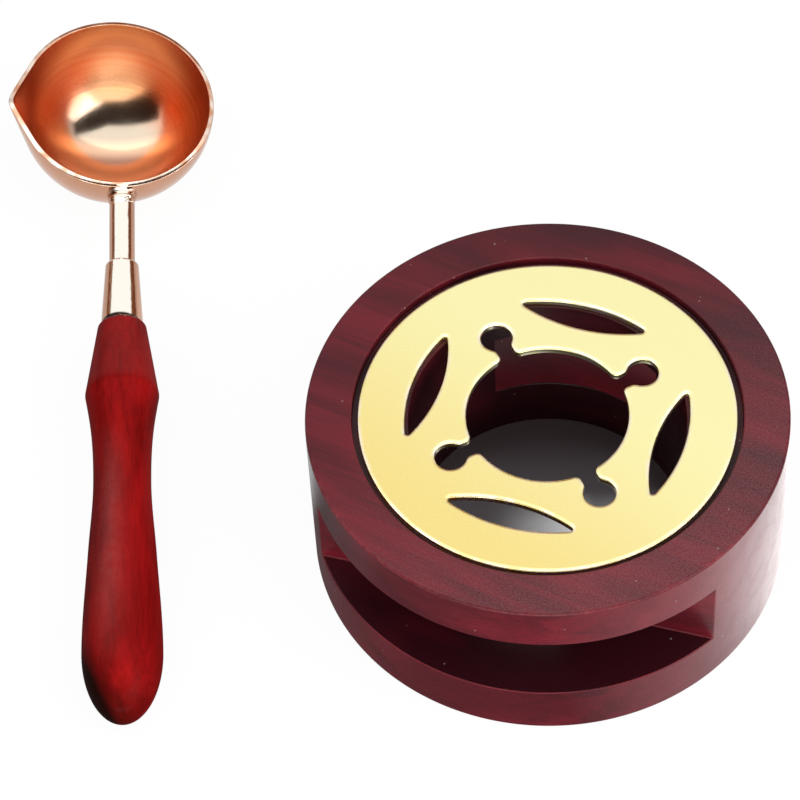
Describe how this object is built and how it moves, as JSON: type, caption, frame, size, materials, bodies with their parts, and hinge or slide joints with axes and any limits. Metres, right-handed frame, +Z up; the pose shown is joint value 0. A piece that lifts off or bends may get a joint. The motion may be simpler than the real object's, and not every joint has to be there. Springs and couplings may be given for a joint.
{
  "type": "wax melting set",
  "caption": "Round wooden candle warmer with air notches and a loose pierced brass plate, beside a copper melting spoon with a pouring lip, a metal ferrule and a turned wooden handle.",
  "frame": {"origin": "on the warmer's axis at the bottom face, where the candle bore opens on the table", "axes": "+Z up along the warmer's axis, -Y towards the front air notch; the spoon lies at -X with its handle towards -Y"},
  "size_m": [0.1389, 0.1218, 0.0305],
  "materials": {
    "drum_wood": "dark red stained hardwood, satin lacquer",
    "plate_brass": "pale satin brass",
    "bowl_copper": "satin copper inside, polished rose gold outside",
    "stem_rose_gold": "polished rose gold",
    "handle_wood": "red dyed wood, satin"
  },
  "bodies": {
    "warmer": {"warmer_drum": "drum_wood"},
    "plate": {"brass_plate": "plate_brass"},
    "spoon": {"spoon_bowl": "bowl_copper", "braze_bead": "stem_rose_gold", "spoon_stem": "stem_rose_gold", "spoon_ferrule": "stem_rose_gold", "spoon_handle": "handle_wood"}
  },
  "joints": [
    {"name": "plate_lift", "type": "slide", "parent": "warmer", "child": "plate", "axis": [0, 0, 1], "range_m": [0, 0.03]},
    {"name": "spoon_lift", "type": "slide", "parent": "warmer", "child": "spoon", "axis": [0, 0, 1], "range_m": [0, 0.06]}
  ]
}
